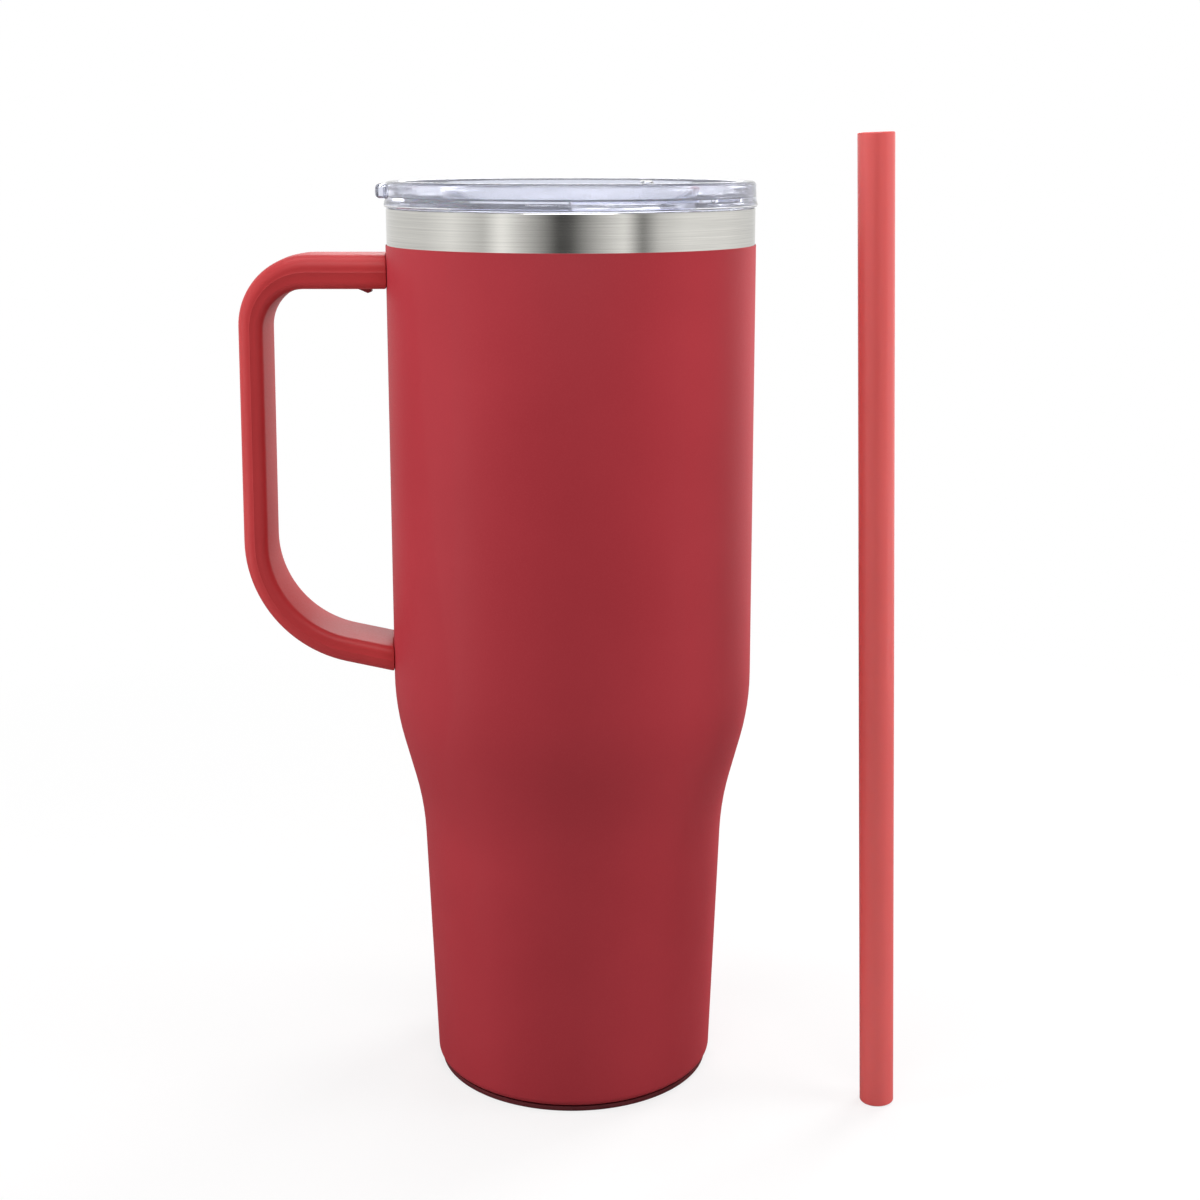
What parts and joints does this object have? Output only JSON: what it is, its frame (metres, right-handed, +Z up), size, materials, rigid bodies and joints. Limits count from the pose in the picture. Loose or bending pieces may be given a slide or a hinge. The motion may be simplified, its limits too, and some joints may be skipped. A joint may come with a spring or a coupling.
{
  "type": "insulated travel mug",
  "caption": "Tall insulated travel mug with a tapered cup-holder base, a loop side handle, a clear press-in lid with a sip slider, and a separate drinking straw.",
  "frame": {"origin": "centre of the base, on the surface that the mug stands on", "axes": "+Z up along the mug's axis; the handle points along -X; the loose straw stands on the +X side, towards -Y, and leans 2 degrees towards the mug"},
  "size_m": [0.1831, 0.1018, 0.2687],
  "materials": {
    "coat_red": "fine matte powder coat",
    "handle_red": "fine satin moulded grain",
    "straw_red": "extruded, semi-gloss",
    "steel": "circumferentially brushed",
    "steel_dull": "pressed, mill finish",
    "steel_screw": "turned",
    "copper": "bright foil",
    "getter": "sintered",
    "solder": "glassy bead",
    "pad_rubber": "matte moulded silicone",
    "cover_rubber": "matte moulded silicone",
    "lid_clear": "clear moulded copolyester",
    "seal_clear": "translucent silicone",
    "slider_clear": "clear moulded copolyester"
  },
  "bodies": {
    "vessel": {"outer_shell": "steel", "inner_liner": "steel", "powder_coat": "coat_red", "copper_foil": "copper", "shell_bottom": "steel_dull", "vacuum_seal": "solder", "getter_pill": "getter", "getter_strap": "steel_dull", "base_plate": "steel_dull", "base_pad": "pad_rubber", "upper_lug": "steel_dull", "lower_lug": "steel_dull", "handle": "handle_red", "upper_screw": "steel_screw", "lower_screw": "steel_screw", "upper_cover": "cover_rubber", "lower_cover": "cover_rubber"},
    "lid": {"lid_body": "lid_clear", "lid_seal": "seal_clear", "straw_grommet": "seal_clear"},
    "slider": {"slider": "slider_clear", "slider_pad": "seal_clear", "slider_keeper": "slider_clear"},
    "straw": {"straw": "straw_red"}
  },
  "joints": [
    {"name": "lid_lift", "type": "slide", "parent": "vessel", "child": "lid", "axis": [0, 0, 1], "range_m": [0, 0.06]},
    {"name": "slider_slide", "type": "slide", "parent": "lid", "child": "slider", "axis": [-1, 0, 0], "range_m": [0, 0.017]},
    {"name": "straw_lift", "type": "slide", "parent": "vessel", "child": "straw", "axis": [0, 0, 1], "range_m": [0, 0.265]}
  ]
}
